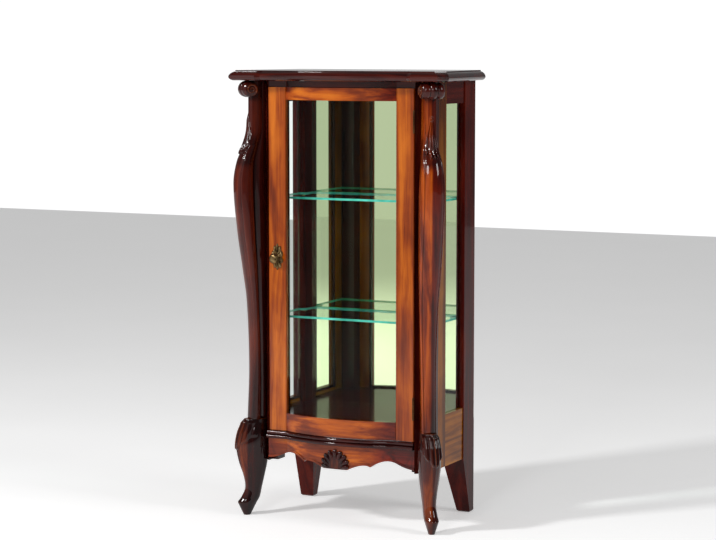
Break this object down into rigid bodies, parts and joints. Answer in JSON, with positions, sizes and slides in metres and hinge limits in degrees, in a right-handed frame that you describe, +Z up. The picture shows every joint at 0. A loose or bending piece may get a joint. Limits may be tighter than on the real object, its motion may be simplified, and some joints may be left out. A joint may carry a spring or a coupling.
{
  "type": "display cabinet",
  "caption": "Free-standing glazed display cabinet with a bowed hinged door, glass shelves, mirror back, carved corner pilasters and cabriole legs.",
  "frame": {"origin": "on the floor, under the middle of the outline's box", "axes": "+X to the right seen from the door, +Y to the back, +Z up"},
  "size_m": [0.67, 0.3709, 1.25],
  "materials": {
    "dark_wood": "high-gloss dark mahogany lacquer",
    "light_wood": "high-gloss orange-brown cherry lacquer",
    "back_board": "plain stained plywood",
    "clear_glass": "clear polished sheet",
    "shelf_glass": "clear sheet with green polished edges",
    "mirror": "silvered sheet",
    "antique_brass": "antique brass, dark in the hollows",
    "brass": "polished brass",
    "catch_plastic": "moulded brown plastic"
  },
  "bodies": {
    "case": {"top_board": "dark_wood", "frieze_rail": "dark_wood", "base_moulding": "dark_wood", "bottom_board": "dark_wood", "front_bottom_rail": "dark_wood", "rear_top_rail": "dark_wood", "rear_bottom_rail": "dark_wood", "shell_carving": "dark_wood", "left_cabriole_pilaster": "dark_wood", "left_front_leg": "dark_wood", "left_rear_post": "dark_wood", "left_rear_leg": "dark_wood", "left_side_top_rail": "dark_wood", "left_side_glazing_beads": "dark_wood", "left_corner_post": "dark_wood", "left_side_front_stile": "light_wood", "left_side_bottom_rail": "light_wood", "left_side_glass": "clear_glass", "right_cabriole_pilaster": "dark_wood", "right_front_leg": "dark_wood", "right_rear_post": "dark_wood", "right_rear_leg": "dark_wood", "right_side_top_rail": "dark_wood", "right_side_glazing_beads": "dark_wood", "right_corner_post": "dark_wood", "right_side_front_stile": "light_wood", "right_side_bottom_rail": "light_wood", "right_side_glass": "clear_glass", "front_apron": "light_wood", "upper_shelf": "shelf_glass", "lower_shelf": "shelf_glass", "mirror": "mirror", "back_panel": "back_board", "shelf_pins": "brass", "lower_hinge_case_leaf": "brass", "upper_hinge_case_leaf": "brass", "hinge_pins": "brass", "magnetic_catch": "catch_plastic"},
    "door": {"door_lock_stile": "light_wood", "door_hinge_stile": "light_wood", "door_top_rail": "light_wood", "door_bottom_rail": "light_wood", "door_glass": "clear_glass", "door_glazing_beads": "dark_wood", "knob_plate": "antique_brass", "knob": "antique_brass", "strike_plate": "brass", "lower_hinge_door_leaf": "brass", "upper_hinge_door_leaf": "brass"}
  },
  "joints": [
    {"name": "door_hinge", "type": "hinge", "parent": "case", "child": "door", "pos_m": [0.2235, -0.1237, 0.7], "axis": [0, 0, 1], "range_deg": [0, 110]}
  ]
}
